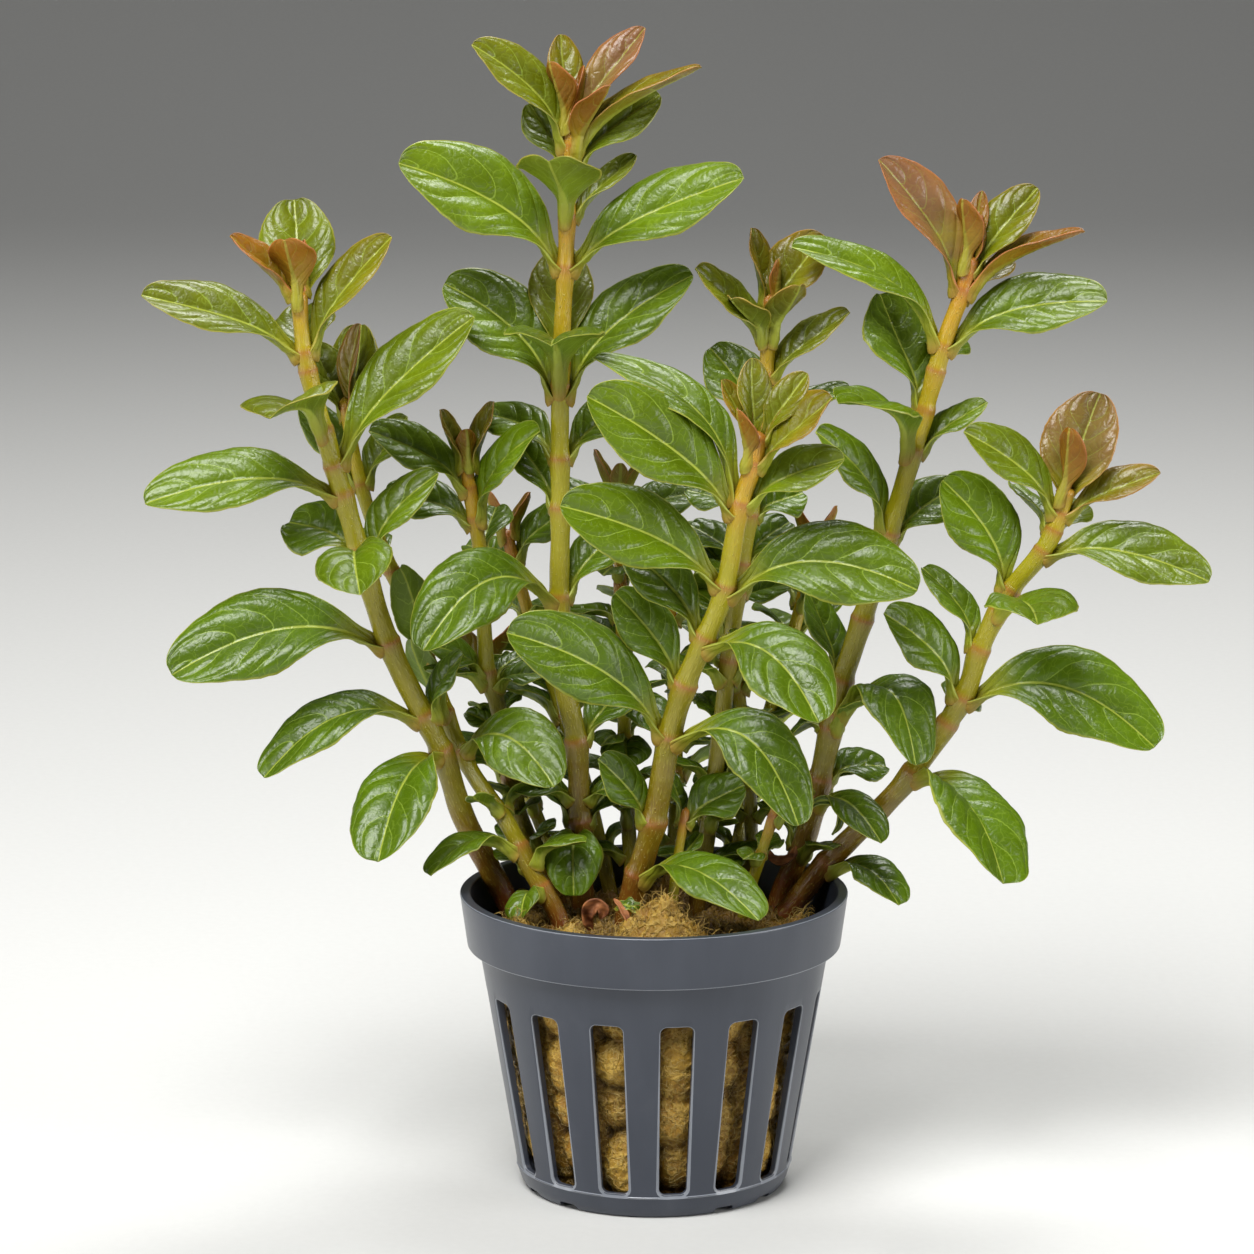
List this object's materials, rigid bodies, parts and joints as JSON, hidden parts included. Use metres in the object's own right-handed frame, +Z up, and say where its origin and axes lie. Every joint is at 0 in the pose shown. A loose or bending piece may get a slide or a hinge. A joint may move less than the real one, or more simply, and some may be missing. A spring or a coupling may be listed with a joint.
{
  "type": "potted aquarium plant",
  "caption": "Lemon bacopa: upright stems with paired oval leaves and bronze tips, rooted in a rockwool plug in a small slotted grey net pot.",
  "frame": {"origin": "centre of the pot's underside, in the plane the foot rests on", "axes": "+Z up along the pot's axis, -Y towards the front of the plant, +X to the right seen from the front"},
  "size_m": [0.1482, 0.0745, 0.1633],
  "materials": {
    "pot": "satin slate grey",
    "rockwool": "matt tan mineral fibre",
    "stem": "smooth yellow-green plant stem",
    "leaf": "glossy green leaf",
    "young_leaf": "glossy bronze-green young leaf"
  },
  "bodies": {
    "root": {"leaf_left_1": "young_leaf", "leaf_left_2": "young_leaf", "leaf_left_3": "leaf", "leaf_left_4": "leaf", "leaf_left_5": "leaf", "leaf_left_6": "leaf", "leaf_left_7": "leaf", "stem_left": "stem", "leaf_left_rear_1": "leaf", "stem_left_rear": "stem", "leaf_tall_1": "young_leaf", "leaf_tall_2": "young_leaf", "leaf_tall_3": "leaf", "leaf_tall_4": "leaf", "leaf_tall_5": "leaf", "leaf_tall_6": "leaf", "leaf_tall_7": "leaf", "leaf_tall_8": "leaf", "leaf_tall_9": "leaf", "stem_tall": "stem", "leaf_short_left_1": "leaf", "stem_short_left": "stem", "leaf_front_1": "leaf", "leaf_front_2": "leaf", "leaf_front_3": "leaf", "leaf_front_4": "leaf", "leaf_front_5": "leaf", "leaf_front_6": "leaf", "leaf_front_7": "leaf", "leaf_front_8": "leaf", "leaf_front_9": "leaf", "stem_front": "stem", "stem_centre_rear": "stem", "leaf_right_1": "young_leaf", "leaf_right_2": "young_leaf", "leaf_right_3": "leaf", "leaf_right_4": "leaf", "leaf_right_5": "leaf", "leaf_right_6": "leaf", "leaf_right_7": "leaf", "leaf_right_8": "leaf", "leaf_right_9": "leaf", "stem_right": "stem", "leaf_far_right_1": "young_leaf", "leaf_far_right_2": "leaf", "leaf_far_right_3": "leaf", "leaf_far_right_4": "leaf", "leaf_far_right_5": "leaf", "leaf_far_right_6": "leaf", "stem_far_right": "stem", "stem_rear_centre": "stem", "stem_rear_left": "stem", "stem_rear_mid": "stem", "stem_rear_right": "stem", "stem_rear_far": "stem", "stem_inner_right": "stem", "stem_front_sprig": "stem", "stem_right_sprig": "stem", "rockwool_plug": "rockwool", "net_pot": "pot"}
  },
  "joints": []
}
